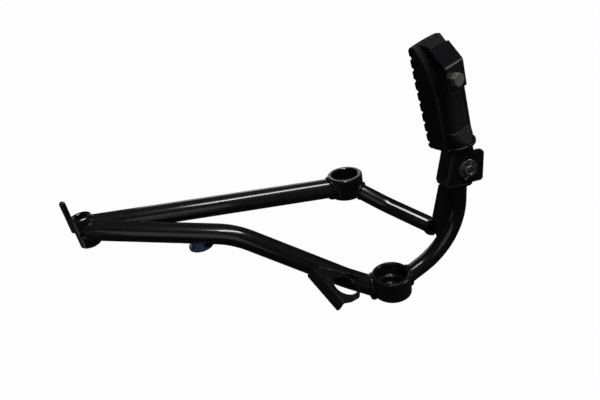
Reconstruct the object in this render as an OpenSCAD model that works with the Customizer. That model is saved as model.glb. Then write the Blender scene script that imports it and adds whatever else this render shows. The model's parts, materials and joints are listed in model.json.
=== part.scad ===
// Pillion footrest bracket of welded steel tube, with a folding rubber-covered footrest.
// Millimetres. The origin is the middle of the lower mounting boss, and +Z runs along its bore,
// towards the footrest. Both bosses and the end collar are parallel to it.

/* [Lower boss] */
// Outer diameter of the lower boss
lower_boss_d = 42; // [38:0.5:50]
// Diameter of its open, upper bore
lower_bore_d = 34; // [30:0.5:36]
// Depth of the upper bore down to the bolt seat
lower_bore_depth = 15; // [10:0.5:18]
// Diameter of the smaller bore below the seat
lower_seat_d = 27; // [24:0.5:29]
// Diameter of the hole in the lip at its foot
lower_lip_d = 22; // [16:0.5:23]
// Height of both big bosses
boss_h = 24.5; // [20:0.5:30]

/* [Upper boss] */
// Outer diameter of the upper boss
upper_boss_d = 39; // [36:0.5:44]
// Diameter of its plain bore
upper_bore_d = 29; // [20:0.5:31]
// Upper boss, offset along X
upper_boss_x = -35; // [-50:1:-20]
// Upper boss, offset along Y
upper_boss_y = 71; // [60:1:85]
// Upper boss, offset along Z
upper_boss_z = 90; // [80:1:100]

/* [End collar] */
// Distance of the end collar from the lower boss, along X
collar_x = -311; // [-340:1:-280]
// Offset of the end collar along Y
collar_y = 12; // [0:1:20]
// Offset of the end collar along Z
collar_z = 106; // [95:1:115]
// Outer diameter of the end collar
collar_d = 21.5; // [20:0.5:26]
// Diameter of the collar's bore
collar_bore_d = 12.5; // [8:0.5:14]
// Height of the collar
collar_h = 34; // [28:1:40]
// Diameter of the locating rod welded to the collar
hook_d = 6; // [5:0.5:8]
// Length of the locating rod
hook_len = 36; // [25:1:45]
// How far the rod stands above the collar
hook_rise = 18; // [10:1:24]

/* [Tubes] */
// Diameter of the two long frame tubes
frame_tube_d = 22; // [18:0.5:25]
// Diameter of the bent arm that carries the footrest
arm_tube_d = 18; // [16:0.5:20]
// Diameter of the strut between the upper boss and the arm
strut_d = 17.5; // [14:0.5:20]
// Wall of all the tubes
tube_wall = 2; // [1.5:0.25:3]
// Bend radius of the lower frame tube, on its axis
frame_bend_r = 90; // [60:5:110]
// Bend radius of the arm, on its axis
arm_bend_r = 74; // [60:2:80]
// Direction of the arm, seen from above
arm_heading = 20; // [15:1:25]

/* [Gusset plates] */
// Thickness of both gusset plates
plate_t = 3; // [2:0.5:4]
// Diameter of the lightening hole
gusset_hole_d = 26; // [20:0.5:27]
// Depth of the turned-down flange
gusset_flange = 9.5; // [7:0.5:12]

/* [Weld nut] */
// Across flats of the weld nut
weld_nut_af = 17; // [15:0.5:19]
// Diameter of the weld nut's flange
weld_nut_flange_d = 26; // [22:0.5:30]
// Bore of the weld nut's thread
weld_nut_bore_d = 8.5; // [6.8:0.1:10.2]

/* [Footrest pivot] */
// Sheet thickness of the clevis
clevis_t = 3.5; // [3:0.25:4]
// Diameter of the pivot pin
pin_d = 10; // [8:0.5:11]
// Running clearance between pin and footrest, on the radius
pin_clearance = 0.06; // [0.03:0.01:0.1]
// Diameter of the pin's head and washer
washer_d = 19; // [16:0.5:20]
// Direction that the front ear faces, seen from above
clevis_turn = 14; // [5:1:25]
// Height of the pivot above the lower boss
pivot_z = 116.2; // [110:0.2:125]
// Diameter of the detent ball
ball_d = 6; // [5:0.5:6.5]

/* [Footrest] */
// Length of the footrest from the pivot to the edge of its tip
peg_len = 127; // [115:1:140]
// Distance from the pivot to the underside of the base flange
peg_base = 23.3; // [23:0.1:26]
// Width of the rubber tread
tread_w = 40; // [36:1:46]
// Lean of the extended footrest from the bore direction
peg_lean = 10.5; // [5:0.1:12]
// Turn of the tread about the footrest's own axis
peg_turn = 20; // [0:1:30]
// Number of ribs across the tread
rib_count = 9; // [6:1:12]
// Thickness of the bent end plate
end_plate_t = 3; // [2:0.5:4]
// Width of the end plate
end_plate_w = 23.5; // [18:0.5:25]
// Diameter of the end plate's bolt
bolt_d = 8; // [6:1:8]

/* [Hidden] */
$fn = 64;

lip_h = 1.5;           // height of the lip at the foot of the lower boss
weld_gap = 0.05;       // gap left at a coped and welded joint
slip = 0.15;           // clearance of parts that slide together
paint = [0.05, 0.05, 0.055];
rubber_black = [0.09, 0.09, 0.09];

collar_at = [collar_x, collar_y, collar_z];
upper_at = [upper_boss_x, upper_boss_y, upper_boss_z];

// Axis of the lower frame tube: out of the collar, two bends, into the lower boss low down
first_bend = [-158, 9.5, 79.3];
second_bend = [-49, 5.3, 9.2];
lower_route = [collar_at, first_bend, second_bend, [0, 0, -14]];
upper_route = [collar_at + [0, 4.6, 2.7], upper_at + [0, -2.5, -1.7]];
bend_steps = 6;

// Weld nut: under the first straight of the lower tube, its flange well below the tube
nut_at = first_bend + unit(collar_at - first_bend) * 37.6 - [0, 1.1, frame_tube_d / 2 + 3.6];
nut_hex_h = 9;
nut_flange_h = 2.2;
nut_room = 0.5;                         // how much wider the tube's hole over the nut is, on the radius

// Hole of the gusset plate, beside the second bend of the lower tube
gusset_at = second_bend + unit([-0.06, -2.41, 1]) * (frame_tube_d / 2 + 16.7);
gusset_tilt = [-18.3, 17.6, -56];
gusset_left = -34.5;                    // ends of the turned-down edge
gusset_right = 17.8;
gusset_edge = -17.2;                    // from the hole's centre to that edge
gusset_rim = 2.7;                       // rim left round the hole
flange_tilt = 75;

// Arm: out of the lower boss, one long bend, up to the clevis
arm_dir = [cos(arm_heading), sin(arm_heading), 0];
arm_reach = 82.4;                       // from the boss axis to the upright stretch
arm_rise = 23;                          // slope of the first stretch, degrees
arm_start_z = -7.5;
arm_knee = arm_dir * arm_reach + [0, 0, arm_start_z + arm_reach * tan(arm_rise)];
pivot_at = [
    arm_dir[0] * arm_reach + 2.7 * cos(clevis_turn),
    arm_dir[1] * arm_reach + 2.7 * sin(clevis_turn),
    pivot_z
];
ear_drop = 16.4;                        // from the pivot down to the ears' lower edge
tongue_r = 11.5;                        // round end of the footrest's tongue
arm_top = [arm_knee[0], arm_knee[1], pivot_z - tongue_r - 1];
arm_route = [[0, 0, arm_start_z], arm_knee, arm_top];
arm_steps = 10;

// Strut: upper boss to the arm's gusset, with one slight bend
strut_route = [upper_at, [6, 50.5, 68], [52.5, 19, 50.5]];
strut_bend_r = 60;

// Clevis and footrest, in frames on the pivot
ear_right = 17.6;                       // pivot to the free edge of the ears
ear_top = 17.4;                         // pivot to the ears' upper edge
web_drop = 16;                          // pivot down to the web's lower edge
web_lean = 11;                          // slope of the web
web_reach = 18.5;                       // pivot to the web's outer face
detent_reach = 13;                      // pivot to the detent ball
detent_floor = 4;                       // rest of the tongue behind the detent's hole
gap = arm_tube_d + 2 * weld_gap;        // the arm's end stands between the ears
clevis_w = gap + 2 * clevis_t;
tongue_w = gap - 2 * slip;
pin_tail = 5.5;                         // pin beyond the front ear, through washer and split pin
pin_hole_at = 3.4;                      // from the front ear to the split pin
split_wire = 1.9;

// Footrest, measured along its axis from the pivot or back from its tip
flange_t = 3;
flange_top = peg_base + flange_t;
tread_base = 17.6;                      // tread height over the axis at the base
tread_rise = 0.035;                     // how the tread climbs towards the tip
tread_tip_w = 35;                       // width of the tread at its tip
wall_low = -3;                          // lower edge of the tread's side walls
tip_low = 13.8;                         // the same edge at the tip
rim_bend = peg_len - 52;                // where that edge starts to climb
tip_crown = 1.2;                        // how far the tip bulges
tip_bevel = 3;                          // at the tip's tread edge
groove_w = 3.4;
groove_depth = 2;
bar_w = 16;
bar_t = 10;
bar_low = -5;                           // underside of the bar
bar_end = peg_len - 25;
sleeve_drop = 9.5;                      // underside of the sleeve below the axis
sleeve_w = 24.4;
sleeve_end_w = 19.6;
band_h = 14.6;                          // wider band at the sleeve's base
band_step = 0.8;
bolt_at = peg_len - 34.5;               // end plate's bolt, along and across
bolt_x = -2.5;
bolt_head_h = 5.3;
bolt_af = 12;
plate_low = peg_len - 45.7;             // lower edge of the end plate
plate_knee = peg_len - 20.6;            // its bend
plate_bend = 38;
plate_tip = 21;                         // length beyond the bend
plate_face = sleeve_drop + weld_gap;    // inner face of the end plate
sleeve_end = plate_knee - end_plate_t * tan(plate_bend / 2) - slip;
spring_turns = 6;

function unit(v) = v / norm(v);
function turn_between(a, b) = acos(min(1, unit(a) * unit(b)));

// Points along a polyline whose inner corners are rounded to radius r
function rounded_route(pts, r, steps) = [
    for (i = [0:len(pts) - 1])
        if (i == 0 || i == len(pts) - 1)
            pts[i]
        else
            let (
                a = unit(pts[i] - pts[i - 1]),
                b = unit(pts[i + 1] - pts[i]),
                turn = turn_between(a, b),
                start = pts[i] - a * r * tan(turn / 2),
                centre = pts[i] + unit(b - a) * r / cos(turn / 2)
            )
            for (k = [0:steps])
                centre + (start - centre) * cos(turn * k / steps) + a * r * sin(turn * k / steps)
];

// One ring of points of radius r around p, square to the direction t
function ring(p, t, r, sides) =
    let (x = unit(cross(t, [0.1, 1, 0.05])), y = cross(t, x))
    [for (k = [0:sides - 1]) p + x * r * cos(360 * k / sides) + y * r * sin(360 * k / sides)];

function route_dirs(pts) = [
    for (i = [0:len(pts) - 1])
        unit(
            (i < len(pts) - 1 ? unit(pts[i + 1] - pts[i]) : [0, 0, 0])
            + (i > 0 ? unit(pts[i] - pts[i - 1]) : [0, 0, 0])
        )
];

function strip(from_a, from_b, sides) = [
    for (k = [0:sides - 1])
        let (m = (k + 1) % sides)
        each [
            [from_a + k, from_a + m, from_b + m],
            [from_a + k, from_b + m, from_b + k]
        ]
];

// A bent tube with square ends, its wall included
module swept_tube(pts, d, wall, sides) {
    dirs = route_dirs(pts);
    n = len(pts);
    outer = [for (i = [0:n - 1]) each ring(pts[i], dirs[i], d / 2, sides)];
    inner = [for (i = [0:n - 1]) each ring(pts[i], dirs[i], d / 2 - wall, sides)];
    half = n * sides;
    skin = [for (i = [0:n - 2]) each strip((i + 1) * sides, i * sides, sides)];
    bore = [for (i = [0:n - 2]) each strip(half + i * sides, half + (i + 1) * sides, sides)];
    start = strip(0, half, sides);
    finish = strip(half + (n - 1) * sides, (n - 1) * sides, sides);
    polyhedron(points = concat(outer, inner), faces = concat(skin, bore, start, finish));
}

// A bent solid rod with flat ends
module swept_rod(pts, d, sides) {
    dirs = route_dirs(pts);
    n = len(pts);
    points = [for (i = [0:n - 1]) each ring(pts[i], dirs[i], d / 2, sides)];
    skin = [for (i = [0:n - 2]) each strip((i + 1) * sides, i * sides, sides)];
    first = [for (k = [0:sides - 1]) k];
    last = [for (k = [sides - 1:-1:0]) (n - 1) * sides + k];
    polyhedron(points = points, faces = concat(skin, [first], [last]));
}

// A straight round bar from a to b
module bar(a, b, d) {
    dir = unit(b - a);
    translate(a)
        rotate([0, acos(dir[2]), atan2(dir[1], dir[0])])
            cylinder(h = norm(b - a), d = d);
}

// Corners of an outline rounded to the radii in r
function rounded_outline(pts, r, steps) = [
    for (i = [0:len(pts) - 1])
        let (
            before = pts[(i + len(pts) - 1) % len(pts)],
            after = pts[(i + 1) % len(pts)],
            a = unit(pts[i] - before),
            b = unit(after - pts[i]),
            turn = turn_between(a, b)
        )
        if (r[i] == 0 || turn < 1)
            pts[i]
        else
            let (
                start = pts[i] - a * r[i] * tan(turn / 2),
                centre = pts[i] + unit(b - a) * r[i] / cos(turn / 2)
            )
            for (k = [0:steps])
                centre + (start - centre) * cos(turn * k / steps) + a * r[i] * sin(turn * k / steps)
];

// Places children on the pivot, turned with the clevis: X right, Y through the ears, Z up
module at_pivot() translate(pivot_at) rotate([0, 0, clevis_turn]) children();

// Places children on the footrest: X across the tread, Y towards the tread, Z to the tip
module at_peg() at_pivot() rotate([0, -peg_lean, 0]) rotate([0, 0, peg_turn]) children();

// Places children on the gusset: Z square to the plate, X along its turned-down edge
module at_gusset() translate(gusset_at) rotate(gusset_tilt) children();

// Places children on the detent's hole across the tongue, Z along the hole
module at_detent(along)
    at_pivot()
        rotate([0, -peg_lean, 0])
            translate([0, along, detent_reach])
                rotate([-90, 0, 0])
                    children();

// The lower tube's outside, thicker all round by grow
module lower_rod(grow)
    swept_rod(rounded_route(lower_route, frame_bend_r, bend_steps), frame_tube_d + 2 * grow, 32);

// The arm's outside, thicker all round by grow
module arm_rod(grow)
    swept_rod(rounded_route(arm_route, arm_bend_r, arm_steps), arm_tube_d + 2 * grow, 28);

// Room for a boss or the collar, so that a tube ends against it
module boss_room(d) cylinder(h = 3 * boss_h, d = d + 2 * weld_gap, center = true);

// A round boss with a bore and bevelled edges
module boss_ring(d, bore) {
    edge = 1.2;
    rotate_extrude()
        polygon([
            [bore / 2, -boss_h / 2], [d / 2 - edge, -boss_h / 2], [d / 2, -boss_h / 2 + edge],
            [d / 2, boss_h / 2 - edge], [d / 2 - edge, boss_h / 2],
            [bore / 2 + edge, boss_h / 2], [bore / 2, boss_h / 2 - edge]
        ]);
}

module apex_collar() {
    color(paint)
        translate(collar_at)
            difference() {
                cylinder(h = collar_h, d = collar_d, center = true);
                cylinder(h = 2 * collar_h, d = collar_bore_d, center = true);
            }
}

module hook_rod() {
    reach = collar_d / 2 + hook_d / 2 + weld_gap;
    away = unit([-12.4, 1.7, 0]);
    color(paint)
        translate(collar_at + away * reach + [0, 0, collar_h / 2 + hook_rise - hook_len])
            union() {
                cylinder(h = hook_len - hook_d / 2, d = hook_d);
                translate([0, 0, hook_len - hook_d / 2]) sphere(d = hook_d);
            }
}

module upper_tube() {
    color(paint)
        difference() {
            bar(upper_route[0], upper_route[1], frame_tube_d);
            bar(upper_route[0], upper_route[1], frame_tube_d - 2 * tube_wall);
            translate(collar_at) boss_room(collar_d);
            translate(upper_at) boss_room(upper_boss_d);
            lower_rod(weld_gap);
        }
}

module lower_tube() {
    color(paint)
        difference() {
            swept_tube(rounded_route(lower_route, frame_bend_r, bend_steps), frame_tube_d, tube_wall, 32);
            translate(collar_at) boss_room(collar_d);
            boss_room(lower_boss_d);
            translate(nut_at) cylinder(h = nut_hex_h, d = weld_nut_bore_d + 2 * nut_room);
        }
}

module upper_boss() {
    color(paint) translate(upper_at) boss_ring(upper_boss_d, upper_bore_d);
}

module lower_boss() {
    seat_h = boss_h - lower_bore_depth;
    color(paint)
        union() {
            boss_ring(lower_boss_d, lower_bore_d);
            translate([0, 0, -boss_h / 2])
                difference() {
                    cylinder(h = seat_h, d = (lower_boss_d + lower_bore_d) / 2);
                    translate([0, 0, -1]) cylinder(h = seat_h, d = lower_lip_d);
                    translate([0, 0, lip_h]) cylinder(h = seat_h, d = lower_seat_d);
                }
        }
}

module strut_tube() {
    color(paint)
        difference() {
            swept_tube(rounded_route(strut_route, strut_bend_r, 3), strut_d, tube_wall, 24);
            translate(upper_at) boss_room(upper_boss_d);
            arm_rod(weld_gap);
            arm_gusset_shape(weld_gap);
        }
}

module arm_tube() {
    color(paint)
        difference() {
            swept_tube(rounded_route(arm_route, arm_bend_r, arm_steps), arm_tube_d, tube_wall, 28);
            boss_room(lower_boss_d);
        }
}

// The gusset inside the arm's bend, thickened all round by grow: a strip that narrows upwards
module arm_gusset_shape(grow) {
    foot = 36;
    waist = 52;
    shoulder = 65.5;
    head = pivot_z - ear_drop - weld_gap;
    rotate([90, 0, arm_heading])
        translate([0, 0, -plate_t / 2 - grow])
            linear_extrude(plate_t + 2 * grow)
                polygon([
                    [arm_reach - 5, head], [arm_reach - 22 - grow, head],
                    [arm_reach - 29.6 - grow, shoulder], [arm_reach - 28.9 - grow, waist],
                    [arm_reach - 24.4 - grow, foot], [arm_reach - 12, foot]
                ]);
}

module arm_gusset() {
    color(paint)
        difference() {
            arm_gusset_shape(0);
            arm_rod(weld_gap);
        }
}

// Plate beside the lower tube, with a hole and one edge turned down. Its bent section, its
// outline from above and its outline from the front are cut from one block
module gusset_plate() {
    rim_r = gusset_hole_d / 2 + gusset_rim;
    miter = plate_t * tan(flange_tilt / 2);
    drop = gusset_flange + miter;
    out = [-cos(flange_tilt), -sin(flange_tilt)];
    corner = [gusset_edge - miter, 0];
    outer_end = corner + drop * out;
    section = rounded_outline(
        [
            [rim_r + 1, 0], corner, outer_end, outer_end + plate_t * [-out[1], out[0]],
            [gusset_edge, -plate_t], [rim_r + 1, -plate_t]
        ],
        [0, plate_t, 0, 0, 0, 0], 6);
    front = [[gusset_left, 1], [gusset_right + 2, 1], [gusset_right + 2, -drop], [gusset_left, -drop]];
    color(paint)
        difference() {
            at_gusset()
                intersection() {
                    translate([gusset_left, 0, 0])
                        rotate([90, 0, 90])
                            linear_extrude(gusset_right - gusset_left + 2)
                                polygon(section);
                    translate([0, 0, -2 * drop])
                        linear_extrude(3 * drop)
                            union() {
                                circle(r = rim_r);
                                polygon([
                                    [gusset_left, gusset_edge - drop], [gusset_right, gusset_edge - drop],
                                    [gusset_right, gusset_edge], [gusset_right + 1.5, gusset_edge + 9],
                                    [gusset_right + 0.2, 4], [rim_r * cos(35), rim_r * sin(35)],
                                    [rim_r * cos(139), rim_r * sin(139)], [gusset_left, gusset_edge]
                                ]);
                            }
                    translate([0, 2 * rim_r, 0])
                        rotate([90, 0, 0])
                            linear_extrude(6 * rim_r)
                                polygon(rounded_outline(front, [0, 0, 5, 3], 6));
                }
            at_gusset() cylinder(h = 10 * plate_t, d = gusset_hole_d, center = true);
            lower_rod(weld_gap);
            boss_room(lower_boss_d);
        }
}

module weld_nut() {
    color([0.16, 0.22, 0.36])
        difference() {
            translate(nut_at)
                union() {
                    cylinder(h = nut_hex_h, d = weld_nut_af / cos(30), $fn = 6);
                    cylinder(h = nut_flange_h, d = weld_nut_flange_d);
                }
            translate(nut_at - [0, 0, 1]) cylinder(h = nut_hex_h + 2, d = weld_nut_bore_d);
            lower_rod(weld_gap);
        }
}

// Side outline of the clevis: its web leans, its ears are square on the free side
function web_x(z) = -web_reach / cos(web_lean) + z * tan(web_lean);
function ear_outline() = rounded_outline(
    [
        [web_x(ear_top), ear_top], [web_x(-web_drop), -web_drop],
        [-1, -ear_drop], [ear_right, -ear_drop], [ear_right, ear_top]
    ],
    [0, 0, 0, 3, 5], 5);

module clevis_bracket() {
    bend_r = clevis_t + 0.5;
    color(paint)
        at_pivot()
            difference() {
                intersection() {
                    translate([0, clevis_w, 0])
                        rotate([90, 0, 0])
                            linear_extrude(2 * clevis_w)
                                polygon(ear_outline());
                    rotate([0, web_lean, 0])
                        translate([-web_reach, 0, -2 * ear_top])
                            linear_extrude(4 * ear_top)
                                difference() {
                                    channel(bend_r, 0);
                                    channel(bend_r - clevis_t, clevis_t);
                                }
                }
                rotate([90, 0, 0]) cylinder(h = 2 * clevis_w, d = pin_d + 2 * weld_gap, center = true);
            }
}

// Half-round-cornered channel section, open towards +X, set in by inset
module channel(r, inset) {
    half = clevis_w / 2 - inset;
    polygon(rounded_outline(
        [[inset, half], [inset, -half], [60, -half], [60, half]],
        [r, r, 0, 0], 6));
}

module pivot_pin() {
    head_h = 3;
    back = -clevis_w / 2 - 0.1;
    color([0.5, 0.5, 0.5])
        at_pivot()
            rotate([90, 0, 0])
                difference() {
                    union() {
                        translate([0, 0, back]) cylinder(h = clevis_w / 2 - back + pin_tail, d = pin_d);
                        translate([0, 0, back - head_h]) cylinder(h = head_h, d = washer_d - 4);
                    }
                    translate([0, 0, clevis_w / 2 + pin_hole_at])
                        rotate([90, 0, 0])
                            cylinder(h = 2 * pin_d, d = split_wire + 0.5, center = true);
                }
}

module pin_washer() {
    washer_t = 1.8;
    color([0.55, 0.55, 0.55])
        at_pivot()
            rotate([90, 0, 0])
                translate([0, 0, clevis_w / 2 + weld_gap])
                    difference() {
                        cylinder(h = washer_t, d = washer_d);
                        translate([0, 0, -1]) cylinder(h = washer_t + 2, d = pin_d + 0.4);
                    }
}

// Split pin through the pivot pin, with its eye above
module split_pin() {
    eye_r = 2.6;
    below = 3;
    color([0.6, 0.6, 0.6])
        at_pivot()
            translate([0, -clevis_w / 2 - pin_hole_at, 0])
                union() {
                    translate([0, 0, -pin_d / 2 - below])
                        cylinder(h = pin_d + below + 1.4, d = split_wire);
                    translate([0, 0, pin_d / 2 + 1.2 + eye_r])
                        rotate([90, 0, 0])
                            rotate_extrude()
                                translate([eye_r, 0]) circle(d = split_wire);
                }
}

module detent_ball() {
    color([0.7, 0.7, 0.7]) at_detent(gap / 2 - 0.1 - ball_d / 2) sphere(d = ball_d);
}

module detent_spring() {
    wire = 0.8;
    coil_r = ball_d / 2 - wire / 2 - 0.1;
    length = tongue_w - detent_floor - 0.5 - ball_d;
    count = spring_turns * 12;
    points = [
        for (k = [0:count])
            [coil_r * cos(k * 30), coil_r * sin(k * 30), wire / 2 + (length - wire) * k / count]
    ];
    color([0.7, 0.7, 0.7]) at_detent(detent_floor - tongue_w / 2) swept_rod(points, wire, 6);
}

// Side outline of the tongue, upright: a round end below, and a heel on the web's side
function tongue_outline() =
    let (top = peg_base - weld_gap, heel = web_reach, heel_low = 6)
    [
        [-heel, top], [-heel, heel_low + heel - tongue_r], [-tongue_r, heel_low],
        for (k = [0:24])
            [-tongue_r * cos(180 * k / 24), -tongue_r * sin(180 * k / 24)],
        [tongue_r, top]
    ];

module peg_tongue() {
    web_side = -web_reach + clevis_t + 0.3;
    color(paint)
        difference() {
            at_pivot()
                translate([0, tongue_w / 2, 0])
                    rotate([90, 0, 0])
                        linear_extrude(tongue_w)
                            intersection() {
                                rotate(peg_lean) polygon(tongue_outline());
                                rotate(-web_lean)
                                    translate([web_side, -peg_len])
                                        square(2 * peg_len);
                            }
            at_pivot()
                rotate([90, 0, 0])
                    cylinder(h = clevis_w, d = pin_d + 2 * pin_clearance, center = true);
            at_detent(detent_floor - tongue_w / 2) cylinder(h = tongue_w, d = ball_d + 0.2);
        }
}

// Outline of the footrest's base, a D whose round side is the underside
function base_outline(w, down, up) = [
    for (k = [0:32])
        let (a = 180 + 180 * k / 32)
        [w * cos(a), down * sin(a)],
    [w, up], [-w, up]
];

module peg_flange() {
    color(paint)
        at_peg()
            translate([0.8, 0, peg_base])
                linear_extrude(flange_t)
                    polygon(base_outline(17.3, 17.3, 14));
}

module peg_bar() {
    start = flange_top + weld_gap;
    color(paint)
        at_peg()
            difference() {
                translate([-bar_w / 2, bar_low, start]) cube([bar_w, bar_t, bar_end - start]);
                bolt_hole(bolt_d + 0.2, 4 * bar_t);
            }
}

// A hole or shank across the footrest, on the end plate's bolt
module bolt_hole(d, length)
    translate([bolt_x, 0, bolt_at])
        rotate([90, 0, 0])
            cylinder(h = length, d = d, center = true);

// Height of the tread and of its side walls' lower edge, at z along the footrest
function tread_top(z) = tread_base + tread_rise * (z - flange_top);
function wall_edge(z) =
    wall_low + (tip_low - wall_low) * pow(max(0, z - rim_bend) / (peg_len - rim_bend), 2.2);

// Side profile of the tread: [height, along] points, with a groove between each two ribs
function tread_profile() =
    let (
        start = flange_top + 0.1,
        reach = peg_len + tip_crown,
        pitch = (peg_len - start - 5) / rib_count,
        half = groove_w / 2
    )
    concat(
        [[wall_low, start]],
        [
            for (k = [0:8])
                let (z = rim_bend + (peg_len - rim_bend) * k / 8)
                [wall_edge(z), z]
        ],
        [
            [tip_low + 1.5, reach], [tread_top(peg_len) - tip_bevel, reach],
            [tread_top(peg_len), peg_len + tip_crown - tip_bevel]
        ],
        [
            for (i = [rib_count:-1:1])
                let (z = start + (i - 0.4) * pitch)
                each [
                    [tread_top(z + half), z + half],
                    [tread_top(z) - groove_depth, z + half - 0.8],
                    [tread_top(z) - groove_depth, z - half + 0.8],
                    [tread_top(z - half), z - half]
                ]
        ],
        [[tread_base, start + 2], [tread_base - 2, start]]
    );

// Outline of the tread from above: nearly straight sides and a bulging tip
function tread_plan(start) =
    let (half = tread_w / 2, tip = tread_tip_w / 2)
    concat(
        [[-half, start], [1 - half, peg_len - 30]],
        [
            for (k = [-6:6])
                [tip * k / 6, peg_len + tip_crown * (1 - pow(k / 6, 2))]
        ],
        [[half - 1, peg_len - 30], [half, start]]
    );

module peg_rubber() {
    start = flange_top + 0.1;
    color(rubber_black)
        at_peg()
            difference() {
                union() {
                    intersection() {
                        translate([tread_w / 2, 0, 0])
                            rotate([0, -90, 0])
                                linear_extrude(tread_w)
                                    polygon([for (p = tread_profile()) [p[1], p[0]]]);
                        translate([0, 2 * tread_base, 0])
                            rotate([90, 0, 0])
                                linear_extrude(4 * tread_base)
                                    polygon(tread_plan(start));
                    }
                    tip_hook();
                    sleeve(start);
                }
                translate([-bar_w / 2 - slip, bar_low - slip, peg_base])
                    cube([bar_w + 2 * slip, bar_t + 2 * slip, bar_end + slip - peg_base]);
                translate([0, -2 * sleeve_drop, 0]) bolt_hole(bolt_d + 1, 4 * sleeve_drop + 2 * bar_low);
            }
}

// The thick middle of the tip, which slopes down to the tip of the end plate
module tip_hook() {
    hook_w = end_plate_w - 4;
    from = plate_knee + plate_tip * cos(plate_bend);
    low = plate_tip * sin(plate_bend) - plate_face - end_plate_t;
    translate([hook_w / 2, 0, 0])
        rotate([0, -90, 0])
            linear_extrude(hook_w)
                polygon([
                    [from + 0.4, low + 0.3], [from - 1.6, low + 3.1], [from - 6, low + 8],
                    [from - 6, tread_base], [peg_len, tread_base], [peg_len, tip_low]
                ]);
}

// The rubber that wraps the bar under the tread, with a round-bellied band at its base
module sleeve(start) {
    height = sleeve_drop - 1;
    band_w = sleeve_w + 2 * band_step;
    hull() {
        translate([0.8, 0, start])
            linear_extrude(1)
                polygon(base_outline(band_w / 2 + 1, sleeve_drop + 5.5, -1));
        translate([-band_w / 2, -sleeve_drop - band_step, start + band_h - 1]) cube([band_w, height, 1]);
    }
    hull() {
        translate([-sleeve_w / 2, -sleeve_drop, start + band_h - 1]) cube([sleeve_w, height, 1]);
        translate([-sleeve_end_w / 2, -sleeve_drop, sleeve_end - 1]) cube([sleeve_end_w, height + 3, 1]);
    }
}

// Bent plate on the sleeve's underside, extruded from its side profile of [height, along] points
module end_plate() {
    outer = -plate_face - end_plate_t;
    miter = end_plate_t * tan(plate_bend / 2);
    up = [sin(plate_bend), cos(plate_bend)];
    tip = [outer, plate_knee] + plate_tip * up;
    profile = rounded_outline(
        [
            [outer, plate_low], [outer, plate_knee], tip, tip + end_plate_t * [up[1], -up[0]],
            [outer + end_plate_t, plate_knee - miter], [outer + end_plate_t, plate_low]
        ],
        [0, end_plate_t + 1, 1, 0, 1, 0], 5);
    color(paint)
        at_peg()
            difference() {
                translate([end_plate_w / 2, 0, 0])
                    rotate([0, -90, 0])
                        linear_extrude(end_plate_w)
                            polygon([for (p = profile) [p[1], p[0]]]);
                bolt_hole(bolt_d + 0.6, 8 * sleeve_drop);
            }
}

module end_bolt() {
    shank = 16;
    color([0.5, 0.5, 0.5])
        at_peg()
            translate([bolt_x, -plate_face - end_plate_t - weld_gap, bolt_at])
                rotate([-90, 0, 0])
                    union() {
                        cylinder(h = shank, d = bolt_d);
                        translate([0, 0, -bolt_head_h])
                            cylinder(h = bolt_head_h, d = bolt_af / cos(30), $fn = 6);
                    }
}

apex_collar();
hook_rod();
upper_tube();
lower_tube();
upper_boss();
lower_boss();
strut_tube();
arm_tube();
arm_gusset();
gusset_plate();
weld_nut();
clevis_bracket();
pivot_pin();
pin_washer();
split_pin();
detent_ball();
detent_spring();
peg_tongue();
peg_flange();
peg_bar();
peg_rubber();
end_plate();
end_bolt();
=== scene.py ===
"""Looks of a motorcycle's pillion footrest bracket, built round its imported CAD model.

Shapes are worked out in millimetres, as the part's sizes are, and made in metres. Tubes, bosses,
welds, the moulded rubber and the split pin are built here and stand for their CAD nodes. Plates
are finer copies of theirs, with broken edges.
"""
import json
import math

import bmesh
import bpy
from mathutils import Matrix, Vector, noise


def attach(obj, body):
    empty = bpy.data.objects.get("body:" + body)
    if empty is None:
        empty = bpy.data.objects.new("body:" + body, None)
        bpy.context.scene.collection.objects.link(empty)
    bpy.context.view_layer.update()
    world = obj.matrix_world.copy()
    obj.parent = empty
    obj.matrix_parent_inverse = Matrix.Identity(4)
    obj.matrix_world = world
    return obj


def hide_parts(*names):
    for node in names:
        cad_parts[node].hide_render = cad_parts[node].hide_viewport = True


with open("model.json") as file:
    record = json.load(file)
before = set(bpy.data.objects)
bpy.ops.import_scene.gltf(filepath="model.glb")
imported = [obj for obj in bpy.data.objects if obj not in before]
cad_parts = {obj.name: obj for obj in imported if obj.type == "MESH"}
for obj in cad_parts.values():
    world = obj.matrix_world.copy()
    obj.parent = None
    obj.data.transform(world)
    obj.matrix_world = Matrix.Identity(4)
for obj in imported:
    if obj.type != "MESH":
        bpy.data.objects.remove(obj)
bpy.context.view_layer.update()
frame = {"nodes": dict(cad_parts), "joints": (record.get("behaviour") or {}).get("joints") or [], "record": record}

MM = 0.001
WHITE = (0.985, 0.985, 0.985, 1)
MOUNTS = {mount["name"]: mount for mount in frame["record"]["mounts"]}
PIVOT = Vector(frame["joints"][0]["pos_m"]) / MM

# Sizes that repeat the part's own
LOWER_AT = Vector(MOUNTS["lower_bore"]["pos_m"]) / MM
UPPER_AT = Vector(MOUNTS["upper_bore"]["pos_m"]) / MM
GUSSET_AT = Vector(MOUNTS["gusset_hole"]["pos_m"]) / MM
COLLAR_AT = Vector(MOUNTS["collar_bore"]["pos_m"]) / MM
BOSS_H = 24.5
LOWER_BOSS_R = 21.0
LOWER_BORE_R = 17.0
LOWER_SEAT_R = 13.5
LOWER_BORE_DEPTH = 15.0
LOWER_LIP_R = 11.0
LIP_H = 1.5
UPPER_BOSS_R = 19.5
UPPER_BORE_R = 14.5
COLLAR_R = 10.75
COLLAR_BORE_R = 6.25
COLLAR_H = 34.0
ROD_R = 3.0
ROD_LEN = 36.0
ROD_RISE = 18.0
ROD_AWAY = Vector((-12.4, 1.7, 0)).normalized()
TUBE_R = 11.0
TUBE_WALL = 2.0
FIRST_BEND = Vector((-158, 9.5, 79.3))
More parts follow.
